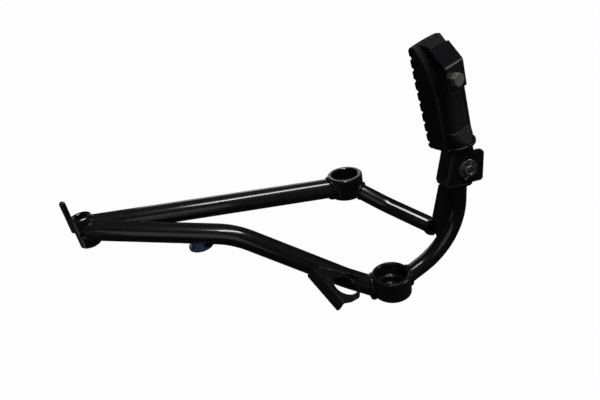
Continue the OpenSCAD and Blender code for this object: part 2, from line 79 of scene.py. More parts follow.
SECOND_BEND = Vector((-49, 5.3, 9.2))
LOWER_TUBE_END = Vector((0, 0, -14))
FRAME_BEND_R = 90.0
UPPER_TUBE_START = Vector((0, 4.6, 2.7))
UPPER_TUBE_END = Vector((0, -2.5, -1.7))
ARM_R = 9.0
ARM_HEADING = math.radians(20)
ARM_REACH = 82.4
ARM_CLIMB = math.radians(23)
ARM_START_Z = -7.5
ARM_TOP_DROP = 12.5
ARM_BEND_R = 74.0
STRUT_R = 8.75
STRUT_BEND = Vector((6, 50.5, 68))
STRUT_END = Vector((52.5, 19, 50.5))
STRUT_BEND_R = 60.0
GUSSET_TURN = math.radians(-56)
GUSSET_TILT = math.radians(17.6)
CLEVIS_TURN = math.radians(14)
PEG_LEAN = math.radians(10.5)
PEG_TURN = math.radians(20)
CLEVIS_W = 25.1
EAR_DROP = 16.4
WEB_DROP = 16.0
PIN_R = 5.0
PLATE_T = 3.0
PEG_LEN = 127.0
FLANGE_TOP = 26.3
SLEEVE_DROP = 9.5
SLEEVE_END = 105.2
END_PLATE_T = 3.0
END_PLATE_INSIDE = 9.55
END_PLATE_KNEE = 106.4
END_PLATE_TIP = 21.0
END_PLATE_BEND = math.radians(38)
END_BOLT_AT = Vector((-2.5, -12.6, PEG_LEN - 34.5))
BOLT_AF = 12.0
BOLT_HEAD_H = 5.3
BOLT_R = 4.0
BOLT_LEN = 9.0

arm_dir = Vector((math.cos(ARM_HEADING), math.sin(ARM_HEADING), 0))
arm_start = LOWER_AT + Vector((0, 0, ARM_START_Z))
arm_knee = arm_start + arm_dir * ARM_REACH + Vector((0, 0, ARM_REACH * math.tan(ARM_CLIMB)))
arm_top = Vector((arm_knee.x, arm_knee.y, PIVOT.z - ARM_TOP_DROP))

at_clevis = Matrix.Translation(PIVOT) @ Matrix.Rotation(CLEVIS_TURN, 4, "Z")
at_peg = at_clevis @ Matrix.Rotation(-PEG_LEAN, 4, "Y") @ Matrix.Rotation(PEG_TURN, 4, "Z")


# ---------------------------------------------------------------- curves and outlines

def rounded(points, radii, steps):
    """Points along a polyline, or round a closed outline when radii has one value a point."""
    closed = isinstance(radii, (list, tuple))
    n = len(points)
    out = []
    for i, p in enumerate(points):
        r = radii[i] if closed else radii
        if (not closed and i in (0, n - 1)) or r == 0:
            out.append(p.copy())
            continue
        a = (p - points[i - 1]).normalized()
        b = (points[(i + 1) % n] - p).normalized()
        turn = a.angle(b)
        start = p - a * r * math.tan(turn / 2)
        centre = p + (b - a).normalized() * r / math.cos(turn / 2)
        for k in range(steps + 1):
            w = turn * k / steps
            out.append(centre + (start - centre) * math.cos(w) + a * r * math.sin(w))
    return out


lower_route = rounded([COLLAR_AT, FIRST_BEND, SECOND_BEND, LOWER_AT + LOWER_TUBE_END], FRAME_BEND_R, 24)
upper_route = [COLLAR_AT + UPPER_TUBE_START, UPPER_AT + UPPER_TUBE_END]
arm_route = rounded([arm_start, arm_knee, arm_top], ARM_BEND_R, 32)
strut_route = rounded([UPPER_AT, STRUT_BEND, STRUT_END], STRUT_BEND_R, 12)


def to_route(p, route):
    """Distance from a point to a polyline."""
    best = 1e9
    for a, b in zip(route, route[1:]):
        along = b - a
        t = max(0.0, min(1.0, (p - a).dot(along) / along.length_squared))
        best = min(best, (p - a - along * t).length)
    return best


def in_boss(at, r):
    return lambda p: math.hypot(p.x - at.x, p.y - at.y) < r


def in_tube(route, r):
    return lambda p: to_route(p, route) < r


def exit_from(p, d, reach, cutters):
    """How far along d from p the last of the cutters is left, or 0 when none holds any of it."""
    step = 0.5
    inside = lambda t: any(cut(p + d * t) for cut in cutters)
    last = next((k for k in range(int(reach / step), -1, -1) if inside(k * step)), -1)
    if last < 0:
        return 0.0
    low, high = last * step, (last + 1) * step
    for _ in range(12):
        mid = (low + high) / 2
        low, high = (mid, high) if inside(mid) else (low, mid)
    return high


# ---------------------------------------------------------------- meshes

def make(name, verts, faces, body, material, replaces=(), smooth=35, place=None):
    """A piece from points in millimetres, on a body, in a material."""
    mesh = bpy.data.meshes.new(name)
    if place is not None:
        verts = [place @ Vector(v) for v in verts]
    mesh.from_pydata([tuple(c * MM for c in v) for v in verts], [], faces)
    bm = bmesh.new()
    bm.from_mesh(mesh)
    bmesh.ops.recalc_face_normals(bm, faces=bm.faces)
    bm.to_mesh(mesh)
    bm.free()
    obj = bpy.data.objects.new(name, mesh)
    bpy.context.scene.collection.objects.link(obj)
    return dress(obj, body, material, replaces, smooth)


def dress(obj, body, material, replaces=(), smooth=35):
    obj.data.materials.clear()
    obj.data.materials.append(material)
    obj.data.shade_smooth()
    if smooth:
        obj.data.set_sharp_from_angle(angle=math.radians(smooth))
    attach(obj, body)
    if replaces:
        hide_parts(*replaces)
    return obj


def strips(rings, closed_rings=True, caps=True):
    """Faces that join rings of equal length, first to last."""
    n = len(rings[0])
    verts = [v for ring in rings for v in ring]
    faces = []
    for i in range(len(rings) - 1):
        for k in range(n if closed_rings else n - 1):
            m = (k + 1) % n
            faces.append((i * n + k, i * n + m, (i + 1) * n + m, (i + 1) * n + k))
    if caps:
        faces.append(tuple(range(n - 1, -1, -1)))
        faces.append(tuple(range((len(rings) - 1) * n, len(rings) * n)))
    return verts, faces


def frames_along(points, closed=False):
    """Direction and two square axes at each point, turned as little as possible on the way."""
    n = len(points)
    dirs = []
    for i in range(n):
        ahead = points[(i + 1) % n] - points[i] if closed or i < n - 1 else Vector()
        behind = points[i] - points[i - 1] if closed or i > 0 else Vector()
        dirs.append((ahead.normalized() + behind.normalized()).normalized())
    x = dirs[0].cross(Vector((0.1, 1, 0.05))).normalized()
    out = []
    for d in dirs:
        x = (x - d * x.dot(d)).normalized()
        out.append((d, x, d.cross(x)))
    return out


def tube(name, route, r, replaces, start_cut=(), end_cut=(), sides=96, wall=TUBE_WALL):
    """A bent tube whose ends are coped to what they meet, with its wall."""
    axes = frames_along(route)
    first, last = axes[0][0], axes[-1][0]
    reach = 45.0

    def skin(radius):
        rings = []
        for p, (d, x, y) in zip(route, axes):
            rings.append([p + (x * math.cos(a) + y * math.sin(a)) * radius
                          for a in (2 * math.pi * k / sides for k in range(sides))])
        if start_cut:
            rings[0] = [p + first * exit_from(p, first, reach, start_cut) for p in rings[0]]
        if end_cut:
            rings[-1] = [p - last * exit_from(p, -last, reach, end_cut) for p in rings[-1]]
        return rings

    outer, inner = skin(r), skin(r - wall)
    rings = outer + inner[::-1]
    verts, faces = strips(rings, caps=False)
    n, last_ring = sides, (len(rings) - 1) * sides
    for k in range(n):
        m = (k + 1) % n
        faces.append((last_ring + k, last_ring + m, m, k))
    make(name, verts, faces, "frame", powder_coat, replaces, smooth=30)
    return outer[0], outer[-1]


def lathe(name, profile, at, body, material, replaces=(), place=None, sides=128):
    """A closed outline of (radius, height) points turned about an upright axis."""
    rings = [[Vector((at.x + r * math.cos(a), at.y + r * math.sin(a), at.z + z))
              for a in (2 * math.pi * k / sides for k in range(sides))] for r, z in profile]
    verts, faces = strips(rings + rings[:1], caps=False)
    n = len(rings) * sides
    verts = verts[:n]
    faces = [tuple(v % n for v in f) for f in faces]
    return make(name, verts, faces, body, material, replaces, 40, place)


def outline(points, radii, steps=4):
    """A (radius, height) outline with its corners rounded."""
    flat = [Vector((x, 0, z)) for x, z in points]
    return [(v.x, v.z) for v in rounded(flat, radii, steps)]


def refine(name, body, material, edge=0.35):
    """A finer copy of a CAD node, with its sharp edges broken."""
    obj = bpy.data.objects.new(name + "_shown", frame["nodes"][name].data.copy())
    bpy.context.scene.collection.objects.link(obj)
    bm = bmesh.new()
    bm.from_mesh(obj.data)
    bmesh.ops.remove_doubles(bm, verts=bm.verts, dist=2e-6)
    bmesh.ops.dissolve_limit(bm, angle_limit=math.radians(1.0), verts=bm.verts, edges=bm.edges)
    bm.to_mesh(obj.data)
    bm.free()
    if "custom_normal" in obj.data.attributes:
        obj.data.attributes.remove(obj.data.attributes["custom_normal"])
    bevel = obj.modifiers.new("edges", "BEVEL")
    bevel.width = edge * MM
    bevel.segments = 3
    bevel.limit_method = "ANGLE"
    bevel.angle_limit = math.radians(38)
    bevel.miter_outer = "MITER_ARC"
    return dress(obj, body, material, (name,), 30)


def bead(name, path, r, body="frame", closed=False, lumps=0.12, pitch=2.2, seed=0.0):
    """A weld bead along a path: overlapping ripples, a wandering width and rounded ends."""
    spaced = [path[0]]
    full = path + [path[0]] if closed else path
    step = 0.55
    for a, b in zip(full, full[1:]):
        count = max(1, round((b - a).length / step))
        spaced += [a.lerp(b, (k + 1) / count) for k in range(count)]
    if closed:
        spaced.pop()
    for _ in range(3):
        spaced = [p if not closed and i in (0, len(spaced) - 1)
                  else (spaced[i - 1] + p * 2 + spaced[(i + 1) % len(spaced)]) / 4
                  for i, p in enumerate(spaced)]
    axes = frames_along(spaced, closed)
    sides = 20
    rings = []
    run = 0.0
    total = sum((b - a).length for a, b in zip(spaced, spaced[1:]))
    for i, (p, (d, x, y)) in enumerate(zip(spaced, axes)):
        if i:
            run += (p - spaced[i - 1]).length
        wave = (run / pitch) % 1.0
        ripple = 1 + lumps * (math.sqrt(max(0.0, 1 - (2 * wave - 1) ** 2)) - 0.6)
        wander = 1 + 0.5 * lumps * noise.noise(Vector((run * 0.16, seed, 3.1)))
        size = r * ripple * wander
        if not closed:
            near = min(run, total - run) / (1.3 * r)
            size *= math.sqrt(max(0.02, 1 - max(0.0, 1 - near) ** 2))
        ring = []
        for k in range(sides):
            a = 2 * math.pi * k / sides
            q = p + (x * math.cos(a) + y * math.sin(a)) * size
            q += (q - p) * 0.12 * noise.noise(q * 0.9 + Vector((seed, 0, 0)))
            ring.append(q)
        rings.append(ring)
    if closed:
        verts, faces = strips(rings + rings[:1], caps=False)
        n = len(rings) * sides
        verts = verts[:n]
        faces = [tuple(v % n for v in f) for f in faces]
    else:
        verts, faces = strips(rings)
    return make(name, verts, faces, body, weld_coat, smooth=60)


def sweep_wire(name, path, r, body, material, replaces=(), sides=20, place=None):
    """A round wire with domed ends."""
    axes = frames_along(path)
    first, last = axes[0][0], axes[-1][0]
    dome = [(1.0, 0.05), (0.9, 0.44), (0.65, 0.76), (0.3, 0.954)]
    stations = [(path[0] - first * r * out, axes[0], r * size) for out, size in dome]
    stations += [(p, ax, r) for p, ax in zip(path, axes)]
    stations += [(path[-1] + last * r * out, axes[-1], r * size) for out, size in dome[::-1]]
    rings = [[p + (x * math.cos(a) + y * math.sin(a)) * size
              for a in (2 * math.pi * k / sides for k in range(sides))]
             for p, (d, x, y), size in stations]
    verts, faces = strips(rings)
    return make(name, verts, faces, body, material, replaces, 60, place)


# ---------------------------------------------------------------- materials

class Shader:
    """A material's node tree, with its principled shader and object coordinates in metres."""

    def __init__(self, name, color, roughness, metallic=0.0, **constant):
        self.material = bpy.data.materials.new(name)
        self.material.use_nodes = True
        self.nodes = self.material.node_tree.nodes
        self.links = self.material.node_tree.links
        self.shader = self.nodes["Principled BSDF"]
        self.shader.inputs["Metallic"].default_value = metallic
        self.shader.inputs["Base Color"].default_value = (*color, 1)
        self.shader.inputs["Roughness"].default_value = roughness
        for socket, value in constant.items():
            self.shader.inputs[socket.replace("_", " ")].default_value = value
        self.coords = self.nodes.new("ShaderNodeTexCoord").outputs["Object"]

    def noise(self, scale, detail=4.0, roughness=0.55, distortion=0.0, stretch=None):
        node = self.nodes.new("ShaderNodeTexNoise")
        node.inputs["Scale"].default_value = scale
        node.inputs["Detail"].default_value = detail
        node.inputs["Roughness"].default_value = roughness
        node.inputs["Distortion"].default_value = distortion
        source = self.coords
        if stretch:
            mapping = self.nodes.new("ShaderNodeMapping")
            mapping.inputs["Scale"].default_value = stretch
            self.links.new(source, mapping.inputs["Vector"])
            source = mapping.outputs["Vector"]
        self.links.new(source, node.inputs["Vector"])
        return node.outputs["Fac"]

    def cells(self, scale):
        node = self.nodes.new("ShaderNodeTexVoronoi")
        node.inputs["Scale"].default_value = scale
        self.links.new(self.coords, node.inputs["Vector"])
        return node.outputs["Distance"]

    def between(self, value, low, high, from_low=0.3, from_high=0.7):
        node = self.nodes.new("ShaderNodeMapRange")
        node.inputs["From Min"].default_value = from_low
        node.inputs["From Max"].default_value = from_high
        node.inputs["To Min"].default_value = low
        node.inputs["To Max"].default_value = high
        self.links.new(value, node.inputs["Value"])
        return node.outputs["Result"]

    def mix(self, value, a, b):
        node = self.nodes.new("ShaderNodeMix")
        node.data_type = "RGBA"
        self.links.new(value, node.inputs[0])
        for socket, source in ((node.inputs[6], a), (node.inputs[7], b)):
            if isinstance(source, tuple):
                socket.default_value = (*source, 1)
            else:
                self.links.new(source, socket)
        return node.outputs[2]

    def math(self, how, a, b=0.5):
        node = self.nodes.new("ShaderNodeMath")
        node.operation = how
        for socket, source in zip(node.inputs, (a, b)):
            if isinstance(source, float):
                socket.default_value = source
            else:
                self.links.new(source, socket)
        return node.outputs[0]

    def pointiness(self):
        return self.nodes.new("ShaderNodeNewGeometry").outputs["Pointiness"]

    def bump(self, *layers):
        """Layers of (height, distance in metres, strength), the coarsest first."""
        normal = None
        for height, distance, strength in layers:
            node = self.nodes.new("ShaderNodeBump")
            node.inputs["Distance"].default_value = distance
            node.inputs["Strength"].default_value = strength
            self.links.new(height, node.inputs["Height"])
            if normal:
                self.links.new(normal, node.inputs["Normal"])
            normal = node.outputs["Normal"]
        self.links.new(normal, self.shader.inputs["Normal"])

    def set(self, socket, value):
        self.links.new(value, self.shader.inputs[socket])


def make_powder_coat(name="powder_coat", lumpy=False):
    """Black semi-gloss powder coat: orange peel, cloudy gloss, dust specks, and lighter convex edges that are
    partly worn, thinner paint and partly a painted highlight on creases and bends.
    """
    s = Shader(name, (0.004, 0.0038, 0.0045), 0.27, Specular_IOR_Level=0.18, Coat_Weight=0.85,
               Coat_Roughness=0.085)
    cloud = s.noise(28, 5)
    specks = s.noise(2600, 2, 0.7)
    dust = s.math("MULTIPLY", s.between(specks, 0.0, 1.0, 0.7, 0.78), s.between(cloud, 0.25, 1.0))
    # Convex edges are painted lighter: partly worn, thinner paint, partly a painted highlight standing in for
    # light caught on creases such as the clevis bend.
    edge = s.between(s.pointiness(), 0.0, 1.0, 0.53, 0.62)
    wear_and_highlight = s.math("MULTIPLY", edge, s.between(s.noise(420, 6, 0.7), 0.0, 1.0, 0.42, 0.62))
    base = s.mix(s.between(cloud, 0.0, 1.0), (0.005, 0.0047, 0.0057), (0.009, 0.0084, 0.0096))
    base = s.mix(s.math("MULTIPLY", dust, 0.5), base, (0.05, 0.048, 0.045))
    base = s.mix(s.math("MULTIPLY", wear_and_highlight, 0.55), base, (0.03, 0.029, 0.028))
    s.set("Base Color", base)
    s.set("Roughness", s.between(s.noise(70, 6, 0.6), 0.23, 0.33))
    peel = s.noise(900, 2, 0.5)
    grain = s.noise(3200, 2, 0.6)
    layers = [(peel, 0.000003, 0.5), (grain, 0.0000006, 0.5)]
    if lumpy:
        s.shader.inputs["Coat Weight"].default_value = 0.25
        layers.insert(0, (s.noise(420, 2, 0.5), 0.00005, 0.7))
    s.bump(*layers)
    return s.material


def make_rubber():
    """Matte moulded rubber: fine cast grain, bloom in patches and scuffed edges."""
    s = Shader("moulded_rubber", (0.008, 0.0078, 0.0078), 0.55, Specular_IOR_Level=0.3)
    patches = s.noise(60, 6, 0.6)
    edge = s.between(s.pointiness(), 0.0, 1.0, 0.51, 0.58)
    scuff = s.math("MULTIPLY", edge, s.between(s.noise(700, 6, 0.75), 0.0, 1.0, 0.4, 0.65))
    base = s.mix(s.between(patches, 0.0, 1.0), (0.005, 0.0048, 0.0048), (0.009, 0.0086, 0.0084))
    base = s.mix(s.math("MULTIPLY", scuff, 0.35), base, (0.045, 0.041, 0.039))
    s.set("Base Color", base)
    s.set("Roughness", s.between(s.noise(190, 5, 0.65), 0.44, 0.62))
    s.bump((s.noise(260, 4, 0.55), 0.00003, 0.5), (s.noise(2400, 3, 0.7), 0.000006, 0.7),
           (s.cells(1500), 0.000006, 0.4))
    return s.material


def make_plated(name, color, other, rough, turned=True):
    """Zinc-plated or bare steel: crystalline tint, fine turning marks and dirt."""
    s = Shader(name, color, rough, metallic=1.0)
    spread = s.noise(240, 6, 0.65)
    base = s.mix(s.between(spread, 0.0, 1.0, 0.35, 0.65), color, other)
    dirt = s.between(s.noise(900, 6, 0.75), 0.0, 0.7, 0.55, 0.72)
    base = s.mix(dirt, base, (0.03, 0.026, 0.022))
    s.set("Base Color", base)
    s.set("Roughness", s.between(s.noise(600, 5, 0.7), rough - 0.08, rough + 0.14))
    stretch = (400, 400, 5200) if turned else None
    s.bump((s.noise(1.0 if turned else 1800, 3, 0.6, stretch=stretch), 0.00001, 0.5),
           (s.cells(1400), 0.00002, 0.25))
    return s.material


powder_coat = make_powder_coat()
weld_coat = make_powder_coat("weld_coat", lumpy=True)
rubber = make_rubber()
pin_steel = make_plated("pin_steel", (0.33, 0.32, 0.31), (0.22, 0.215, 0.21), 0.4)
washer_steel = make_plated("washer_steel", (0.30, 0.295, 0.28), (0.19, 0.185, 0.18), 0.42, False)
bolt_zinc = make_plated("bolt_zinc", (0.34, 0.33, 0.3), (0.22, 0.215, 0.2), 0.46, False)
blue_zinc = make_plated("blue_zinc", (0.20, 0.27, 0.42), (0.13, 0.17, 0.29), 0.36, False)
spring_steel = make_plated("spring_steel", (0.45, 0.45, 0.45), (0.35, 0.35, 0.35), 0.3, False)


# ---------------------------------------------------------------- bosses, collar, rod

def boss(name, at, r, bore, seat=None):
    """A turned boss with bevelled rims, and a ledge in its bore where it has a seat."""
    h = BOSS_H / 2
    edge = 1.2
    points = [(bore, h - edge), (bore + edge, h), (r - edge, h), (r, h - edge),
              (r, edge - h), (r - edge, -h)]
    radii = [0.5] * 6
    if seat:
        ledge = h - LOWER_BORE_DEPTH
        points += [(LOWER_LIP_R, -h), (LOWER_LIP_R, LIP_H - h), (seat, LIP_H - h), (seat, ledge),
                   (bore, ledge)]
        radii += [0.4, 0.4, 0.7, 1.0, 0.8]
    else:
        points += [(bore, -h)]
        radii += [0.6]
    lathe(name + "_turned", outline(points, radii), at, "frame", powder_coat, (name,))


def make_bosses():
    boss("lower_boss", LOWER_AT, LOWER_BOSS_R, LOWER_BORE_R, LOWER_SEAT_R)
    boss("upper_boss", UPPER_AT, UPPER_BOSS_R, UPPER_BORE_R)
    h = COLLAR_H / 2
    edge = 1.0
    inside = 0.6
    points = [(COLLAR_BORE_R, h - inside), (COLLAR_BORE_R + inside, h), (COLLAR_R - edge, h),
              (COLLAR_R, h - edge), (COLLAR_R, edge - h), (COLLAR_R - edge, -h),
              (COLLAR_BORE_R + inside, -h), (COLLAR_BORE_R, inside - h)]
    lathe("apex_collar_turned", outline(points, [0.3, 0.3, 0.4, 0.4, 0.4, 0.4, 0.3, 0.3]), COLLAR_AT,
          "frame", powder_coat, ("apex_collar",))
    foot = COLLAR_AT + ROD_AWAY * (COLLAR_R + ROD_R + 0.05)
    foot.z += COLLAR_H / 2 + ROD_RISE - ROD_LEN
    path = [foot + Vector((0, 0, z)) for z in (ROD_R * 0.3, 12, 24, ROD_LEN - ROD_R)]
    sweep_wire("hook_rod_shown", path, ROD_R, "frame", powder_coat, ("hook_rod",), 48)
    side = ROD_AWAY.cross(Vector((0, 0, 1)))
    for k, turn in ((0, 1), (1, -1)):
        base = COLLAR_AT + ROD_AWAY * (COLLAR_R + 0.3) + side * turn * 2.1
        path = [base + Vector((0, 0, z)) for z in (0.5, 8, COLLAR_H / 2 - 1.5)]
        bead(f"weld_rod_{k}", path, 1.5, seed=4.0 + k)


# ---------------------------------------------------------------- tubes and their welds

def on_rim(points, at, grow=0.5):
    """A coped end's points moved out to a weld's middle, and kept on the boss's height."""
    out = []
    for p in points:
        side = Vector((p.x - at.x, p.y - at.y, 0))
        q = p + side.normalized() * grow
        q.z = max(at.z - BOSS_H / 2 - 0.6, min(at.z + BOSS_H / 2 + 0.6, q.z))
        out.append(q)
    return out


def make_tubes():
    collar = in_boss(COLLAR_AT, COLLAR_R)
    lower = in_boss(LOWER_AT, LOWER_BOSS_R)
    upper = in_boss(UPPER_AT, UPPER_BOSS_R)
    start, end = tube("lower_tube_bent", lower_route, TUBE_R, ("lower_tube",), (collar,), (lower,))
    bead("weld_collar_lower", on_rim_of_collar(start), 1.4, closed=True, lumps=0.05, seed=1.0)
    bead("weld_boss_lower", on_rim(end, LOWER_AT, 0.9), 3.0, closed=True, pitch=3.0, seed=2.0)
    first = in_tube(lower_route[:3], TUBE_R)
    start, end = tube("upper_tube_straight", upper_route, TUBE_R, ("upper_tube",), (collar, first), (upper,))
    bead("weld_collar_upper", start, 1.2, closed=True, lumps=0.05, seed=3.0)
    bead("weld_boss_upper", on_rim(end, UPPER_AT), 2.1, closed=True, seed=5.0)
    start, end = tube("arm_tube_bent", arm_route, ARM_R, ("arm_tube",), (lower,))
    bead("weld_boss_arm", on_rim(start, LOWER_AT), 2.2, closed=True, seed=6.0)
    arm = in_tube(arm_route, ARM_R)
    behind = Vector((-arm_dir.y, arm_dir.x, 0))
    plate = lambda p: p.dot(behind) < PLATE_T / 2
    start, end = tube("strut_tube_bent", strut_route, STRUT_R, ("strut_tube",), (upper,), (arm, plate))
    bead("weld_boss_strut", on_rim(start, UPPER_AT), 2.1, closed=True, seed=7.0)
    bead("weld_strut_arm", end, 1.6, closed=True, seed=8.0)


def on_rim_of_collar(points):
    return [p + Vector((p.x - COLLAR_AT.x, p.y - COLLAR_AT.y, 0)).normalized() * 0.5 for p in points]


# ---------------------------------------------------------------- plates and their welds

def make_plates():
    refine("gusset_plate", "frame", powder_coat, edge=0.45)
    refine("arm_gusset", "frame", powder_coat, edge=0.4)
    refine("clevis_bracket", "frame", powder_coat, edge=0.45)
    refine("peg_flange", "footrest", powder_coat, edge=0.45)
    refine("peg_tongue", "footrest", powder_coat, edge=0.4)
    refine("end_plate", "footrest", powder_coat, edge=0.5)


def seam(points_dirs, cutters, reach=30.0):
    """Where lines through a plate leave what it is welded to."""
    return [p + d * exit_from(p, d, reach, cutters) for p, d in points_dirs]


def make_plate_welds():
    arm = in_tube(arm_route, ARM_R)
    side = Vector((-arm_dir.y, arm_dir.x, 0))
    rows = [arm_axis_at(z) for z in range(40, 99, 4)]
    for k, turn in ((0, -1), (1, 1)):
        path = seam([(p + side * turn * (PLATE_T / 2 + 0.2), -arm_dir) for p in rows], (arm,))
        bead(f"weld_gusset_arm_{k}", path, 1.1, seed=9.0 + k)


def make_gusset_welds():
    """Stitches of weld between the holed plate and the lower tube."""
    tube_inside = in_tube(lower_route, TUBE_R)
    across, normal = gusset_axes()
    up = normal.cross(across)
    for k, (low, high, r) in enumerate(((-31.5, -19.0, 2.2), (-13.5, -4.0, 1.4))):
        lines = [(GUSSET_AT + across * (low + (high - low) * i / 6) + up * 24, -up) for i in range(7)]
        path = [p + normal * 1.7 - up * 0.4 for p in seam(lines, (tube_inside,), 48.0)]
        bead(f"weld_gusset_tube_{k}", path, r, lumps=0.35, pitch=2.4, seed=16.0 + k)


def gusset_axes():
    """The plate's direction along its turned-down edge, and its normal."""
    turn = Matrix.Rotation(GUSSET_TURN, 3, "Z") @ Matrix.Rotation(GUSSET_TILT, 3, "Y")
    return turn @ Vector((1, 0, 0)), Vector(MOUNTS["gusset_hole"]["axis"])


def arm_axis_at(z):
    """The arm's axis at a height."""
    for a, b in zip(arm_route, arm_route[1:]):
        if a.z <= z <= b.z:
            return a.lerp(b, (z - a.z) / (b.z - a.z))
    return arm_route[-1].copy()


def make_clevis_welds():
    """Fillets under the ears and the web, and a short bead along the web's corner."""
    half = CLEVIS_W / 2
    for k, turn in ((0, -1), (1, 1)):
        path = [(-13.5, 10.9, -EAR_DROP - 0.6), (-8, 10.6, -EAR_DROP - 1.3), (-2, 10.4, -EAR_DROP - 1.7),
                (3.5, 10.5, -EAR_DROP - 1.1), (6.8, 10.9, -EAR_DROP - 0.3)]
        bead(f"weld_ear_{k}", [at_clevis @ Vector((x, y * turn, z)) for x, y, z in path], 2.4,
             lumps=0.3, pitch=2.6, seed=11.0 + k)
    web = [(-20.6, y, -WEB_DROP - 0.5) for y in (-half + 4, -4, 0, 4, half - 4)]
    bead("weld_web", [at_clevis @ Vector(v) for v in web], 1.9, seed=13.0)
    lean = [(-20.5, -half + 1.2, -WEB_DROP - 0.2), (-17, -half + 1.0, -EAR_DROP - 0.3),
            (-13.5, -half + 1.3, -EAR_DROP - 0.5)]
    bead("weld_web_corner", [at_clevis @ Vector(v) for v in lean], 1.5, lumps=0.3, seed=14.0)


# ---------------------------------------------------------------- fasteners

def hexagon_head(name, af, height, place, body, material, replaces=(), shank=0.0,
                 shank_len=0.0):
    """A hexagon head whose corners are turned off by a cone, with its washer face and shank."""
    sides = 120
    rim = af / 2 * 0.97
    slope = math.tan(math.radians(28))
    rings = []

    def ring(radius_at, height_at):
        rings.append([(radius_at(a) * math.cos(a), radius_at(a) * math.sin(a), height_at(a))
                      for a in (2 * math.pi * k / sides for k in range(sides))])

    def flats(a):
        return af / 2 / math.cos((a + math.pi / 6) % (math.pi / 3) - math.pi / 6)

    def top(a):
        return height - max(0.0, flats(a) - rim) * slope

    if shank:
        ring(lambda a: shank, lambda a: -shank_len)
        ring(lambda a: shank, lambda a: 0.0)
    ring(lambda a: flats(a) - 0.25, lambda a: 0.0)
    ring(flats, lambda a: 0.2)
    ring(flats, lambda a: top(a) - 0.12)
    ring(lambda a: flats(a) - 0.12, lambda a: top(a) + 0.02)
    ring(lambda a: rim, lambda a: height)
    ring(lambda a: rim * 0.93, lambda a: height + 0.03)
    ring(lambda a: rim * 0.6, lambda a: height - 0.12)
    ring(lambda a: rim * 0.55, lambda a: height - 0.14)
    verts, faces = strips(rings)
    return make(name, verts, faces, body, material, replaces, 28, place)


def make_bolt():
    place = at_peg @ Matrix.Translation(END_BOLT_AT) @ Matrix.Rotation(math.radians(90), 4, "X")
    hexagon_head("end_bolt_shown", BOLT_AF, BOLT_HEAD_H, place, "footrest", bolt_zinc, ("end_bolt",),
                 BOLT_R, BOLT_LEN)


def make_nut():
    refine("weld_nut", "frame", blue_zinc, edge=0.35)


def make_pin():
    """The pivot pin with a turned end face, its washer and its spread split pin."""
    face = CLEVIS_W / 2 + 5.5
    back = -CLEVIS_W / 2 - 0.1
    head_r = 7.5
    points = [(0.05, back - 3), (head_r, back - 3), (head_r, back), (PIN_R, back), (PIN_R, face),
              (PIN_R - 1.2, face + 0.02), (PIN_R - 1.5, face - 0.5), (0.05, face - 0.45)]
    turned = at_clevis @ Matrix.Rotation(math.radians(90), 4, "X")
    lathe("pivot_pin_shown", outline(points, [0, 0.9, 0.2, 0.3, 0.7, 0.3, 0.3, 0], 5), Vector((0, 0, 0)),
          "frame", pin_steel, ("pivot_pin",), turned)
    low = CLEVIS_W / 2 + 0.05
    points = [(5.2, low), (9.5, low), (9.5, low + 1.8), (5.2, low + 1.8)]
    lathe("pin_washer_shown", outline(points, [0.2, 0.5, 0.5, 0.3], 4), Vector((0, 0, 0)), "frame",
          washer_steel, ("pin_washer",), turned)
    y = -CLEVIS_W / 2 - 3.4
    wire = 0.78
    eye_z = PIN_R + 3.5
    eye = 2.35
    loop = [Vector((0.82, y, z)) for z in (-6.0, -3, 0, 3, PIN_R)]
    loop += [Vector((eye * math.sin(a), y, eye_z + 0.2 - eye * math.cos(a)))
             for a in (math.radians(40 + 280 * k / 26) for k in range(27))]
    loop += [Vector((-0.82, y, z)) for z in (PIN_R, 3, 0, -3, -6.0)]
    bent_up = [Vector((6.6 * math.sin(a) + 0.4, y - 0.3, -6.6 * math.cos(a)))
               for a in (math.radians(10 + 118 * k / 16) for k in range(17))]
    spread = [Vector((-1.4, y, -7.4)), Vector((-2.8, y - 0.4, -8.3)), Vector((-4.6, y - 0.8, -8.6))]
    path = bent_up[::-1] + loop + spread
    path = [at_clevis @ p for p in rounded(path, 0.6, 3)]
    sweep_wire("split_pin_shown", path, wire, "frame", pin_steel, ("split_pin",), 16)


# ---------------------------------------------------------------- the moulded rubber

def tread_top(p):
    return 17.6 + 0.035 * (p - FLANGE_TOP)


def wall_edge(p):
    """Lower edge of the tread's side walls, which climbs towards the tip."""
    low, high, bend = -3.0, 13.8, 75.0
    return low + (high - low) * (max(0.0, p - bend) / (PEG_LEN - bend)) ** 2.2


def tread_half(p):
    """Half the tread's width, which narrows to a bulging tip."""
    if p <= 97:
        return 20 - (p - FLANGE_TOP) / (97 - FLANGE_TOP)
    if p <= PEG_LEN:
        return 19 - 1.5 * (p - 97) / 30
    return 17.5 * math.sqrt(max(0.02, 1 - (p - PEG_LEN) / 1.2))


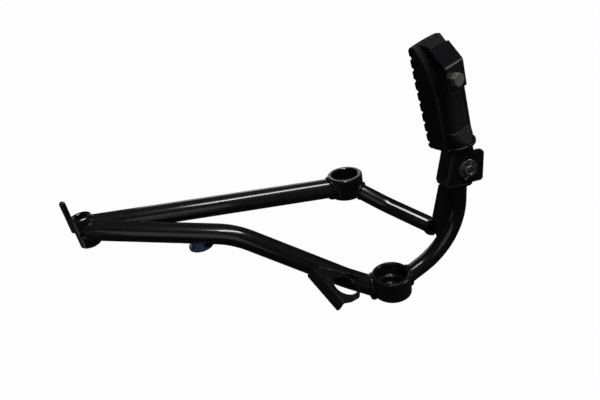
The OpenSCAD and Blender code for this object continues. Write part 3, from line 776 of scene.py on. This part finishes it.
def tread_sections():
    """Cross-sections of the tread: hanging side walls with a lip, and a recess between them."""
    start = FLANGE_TOP + 0.1
    ribs = 9
    pitch = (PEG_LEN - start - 5) / ribs
    half_groove, depth = 1.7, 2.0
    stations = {start: 2.0, start + 2: 0.0}
    for i in range(1, ribs + 1):
        at = start + (i - 0.4) * pitch
        for offset, cut in ((-half_groove, 0), (-half_groove + 0.7, depth), (half_groove - 0.7, depth),
                            (half_groove, 0)):
            stations[at + offset] = cut
    for k in range(14):
        stations.setdefault(80 + k * 3.4, None)
    for p, cut in ((125.2, 0.0), (126.2, 1.0), (127.0, 1.8), (127.6, 2.4), (128.0, 2.8), (128.2, 3.2)):
        stations[p] = cut
    known = sorted(p for p in stations if stations[p] is not None)
    out = []
    for p in sorted(stations):
        cut = stations[p]
        if cut is None:
            before = max(k for k in known if k <= p)
            after = min(k for k in known if k >= p)
            cut = stations[before] + (stations[after] - stations[before]) * (p - before) / (after - before)
        half = tread_half(p)
        top = tread_top(p) - cut
        edge = min(wall_edge(min(p, PEG_LEN)) + max(0.0, p - PEG_LEN) * 1.2, top - 1.5)
        lip = min(3.0 + 2.2 * max(0.0, (p - 85) / 42), half * 0.6)
        recess = min(edge + 1.6, top - 1.2)
        out.append([Vector(v) for v in (
            (-half, top, p), (-half, edge, p), (lip - half, edge, p), (lip - half, recess, p),
            (half - lip, recess, p), (half - lip, edge, p), (half, edge, p), (half, top, p))])
    return out


def belly(half, drop, exponent, shift, top, p, sides=36):
    """Half a rounded outline below the axis, closed straight across above it."""
    ring = []
    for k in range(sides + 1):
        a = math.pi * k / sides
        c, s = math.cos(a), math.sin(a)
        ring.append(Vector((shift - half * math.copysign(abs(c) ** (2 / exponent), c),
                            -drop * s ** (2 / exponent), p)))
    return ring + [Vector((shift + half, top, p)), Vector((shift - half, top, p))]


def make_rubber_block():
    """The footrest's rubber, joined from its tread, sleeve, band and tip, and fused."""
    start = FLANGE_TOP + 0.1
    band_end = start + 14.6
    solids = [strips(tread_sections())]
    band = []
    for k in range(9):
        w = k / 8
        band.append(belly(14 - w, 15 + (SLEEVE_DROP + 0.8 - 15) * min(1, w * 1.02), 2 + 4 * w, 0.8 * (1 - w),
                          4.0, start + (band_end - start) * w))
    solids.append(strips(band))
    sleeve = [belly(12.2 + (9.8 - 12.2) * k / 6, SLEEVE_DROP, 5.0, 0, 5.0 + 6 * (k / 6) ** 2,
                    start + 10 + (SLEEVE_END - start - 10) * k / 6) for k in range(7)]
    solids.append(strips(sleeve))
    hook = 9.75
    tip_at = END_PLATE_KNEE + END_PLATE_TIP * math.cos(END_PLATE_BEND)
    tip_low = END_PLATE_TIP * math.sin(END_PLATE_BEND) - END_PLATE_INSIDE - END_PLATE_T
    profile = [(tip_at + 0.4, tip_low + 0.3), (tip_at - 1.6, tip_low + 3.1), (tip_at - 6, tip_low + 8),
               (tip_at - 6, 17.6), (PEG_LEN, 17.6), (PEG_LEN, 13.8)]
    solids.append(strips([[Vector((w, q, p)) for p, q in profile] for w in (-hook, hook)]))
    verts, faces = [], []
    for v, f in solids:
        faces += [tuple(i + len(verts) for i in face) for face in f]
        verts += v
    obj = make("footrest_rubber", verts, faces, "footrest", rubber, ("peg_rubber",), 0, at_peg)
    remesh = obj.modifiers.new("fuse", "REMESH")
    remesh.mode = "VOXEL"
    remesh.voxel_size = 0.00045
    remesh.use_smooth_shade = True
    smooth = obj.modifiers.new("soften", "SMOOTH")
    smooth.factor = 0.5
    smooth.iterations = 3
    return obj


def make_end_plate_weld():
    """The nub at the end plate's knee."""
    outer = -END_PLATE_INSIDE - END_PLATE_T
    path = [at_peg @ Vector((w, outer - 0.1, 105.0)) for w in (6.5, 8.5, 10.3)]
    bead("weld_end_plate", path, 1.2, body="footrest", lumps=0.1, seed=15.0)


# ---------------------------------------------------------------- studio

def make_stage():
    """A pale floor well below the object, and soft lights."""
    scene = bpy.context.scene
    scene.view_settings.view_transform = "Standard"
    mesh = bpy.data.meshes.new("floor")
    size, low = 6.0, -0.16
    mesh.from_pydata([(-size, -size, low), (size, -size, low), (size, size, low), (-size, size, low)], [],
                     [(0, 1, 2, 3)])
    floor = bpy.data.objects.new("floor", mesh)
    scene.collection.objects.link(floor)
    paper = bpy.data.materials.new("paper")
    paper.use_nodes = True
    nodes, links = paper.node_tree.nodes, paper.node_tree.links
    shader = nodes["Principled BSDF"]
    shader.inputs["Base Color"].default_value = (0.9, 0.9, 0.9, 1)
    shader.inputs["Roughness"].default_value = 0.9
    glow = nodes.new("ShaderNodeEmission")
    glow.inputs["Color"].default_value = WHITE
    seen = nodes.new("ShaderNodeLightPath")
    blend = nodes.new("ShaderNodeMixShader")
    links.new(seen.outputs["Is Camera Ray"], blend.inputs[0])
    links.new(shader.outputs[0], blend.inputs[1])
    links.new(glow.outputs[0], blend.inputs[2])
    links.new(blend.outputs[0], nodes["Material Output"].inputs["Surface"])
    mesh.materials.append(paper)
    floor.visible_glossy = False
    floor.visible_diffuse = False

    world = bpy.data.worlds.new("studio")
    scene.world = world
    world.use_nodes = True
    nodes, links = world.node_tree.nodes, world.node_tree.links
    dim = nodes["Background"]
    dim.inputs["Color"].default_value = (0.9, 0.92, 1.0, 1)
    dim.inputs["Strength"].default_value = 0.02
    white = nodes.new("ShaderNodeBackground")
    white.inputs["Color"].default_value = WHITE
    seen = nodes.new("ShaderNodeLightPath")
    blend = nodes.new("ShaderNodeMixShader")
    links.new(seen.outputs["Is Camera Ray"], blend.inputs[0])
    links.new(dim.outputs[0], blend.inputs[1])
    links.new(white.outputs[0], blend.inputs[2])
    links.new(blend.outputs[0], nodes["World Output"].inputs["Surface"])

    def softbox(name, at, size_x, size_y, power, target=(-0.08, 0.02, 0.09)):
        data = bpy.data.lights.new(name, "AREA")
        data.shape = "RECTANGLE"
        data.size = size_x
        data.size_y = size_y
        data.energy = power
        light = bpy.data.objects.new(name, data)
        scene.collection.objects.link(light)
        light.location = at
        light.rotation_euler = (Vector(target) - Vector(at)).to_track_quat("-Z", "Y").to_euler()
        return light

    softbox("overhead", (0.1, -0.2, 1.15), 0.68, 0.2, 7.6)
    softbox("front_fill", (-0.35, -1.3, 0.35), 0.9, 0.9, 1.4)
    softbox("rear_fill", (-0.3, 1.3, 0.45), 0.9, 0.7, 2.2)
    low = softbox("left_kicker", (-0.75, -0.3, -0.1), 0.3, 0.25, 0.08, (0.08, 0.03, 0.12))
    low.visible_camera = False
    softbox("right_kicker", (1.1, -0.25, 0.5), 0.5, 0.7, 1.5)


def make_camera():
    right = Vector((0.9891, 0, -0.1473))
    up = Vector((0.1293, 0.4792, 0.8682))
    back = right.cross(up).normalized()
    data = bpy.data.cameras.new("camera")
    data.lens = 27.42
    data.sensor_width = 36
    data.clip_start = 0.01
    camera = bpy.data.objects.new("camera", data)
    bpy.context.scene.collection.objects.link(camera)
    turn = Matrix((right, up, back)).transposed().to_4x4()
    camera.matrix_world = Matrix.Translation((-0.0519, -0.3922, 0.3266)) @ turn
    bpy.context.scene.camera = camera


make_camera()
make_stage()
make_bosses()
make_tubes()
make_plates()
make_plate_welds()
make_gusset_welds()
make_clevis_welds()
make_bolt()
make_nut()
make_pin()
make_rubber_block()
make_end_plate_weld()

dressed = {"peg_bar": powder_coat, "detent_ball": spring_steel, "detent_spring": spring_steel}
for node, material in dressed.items():
    for place in frame["nodes"][node].material_slots:
        place.material = material
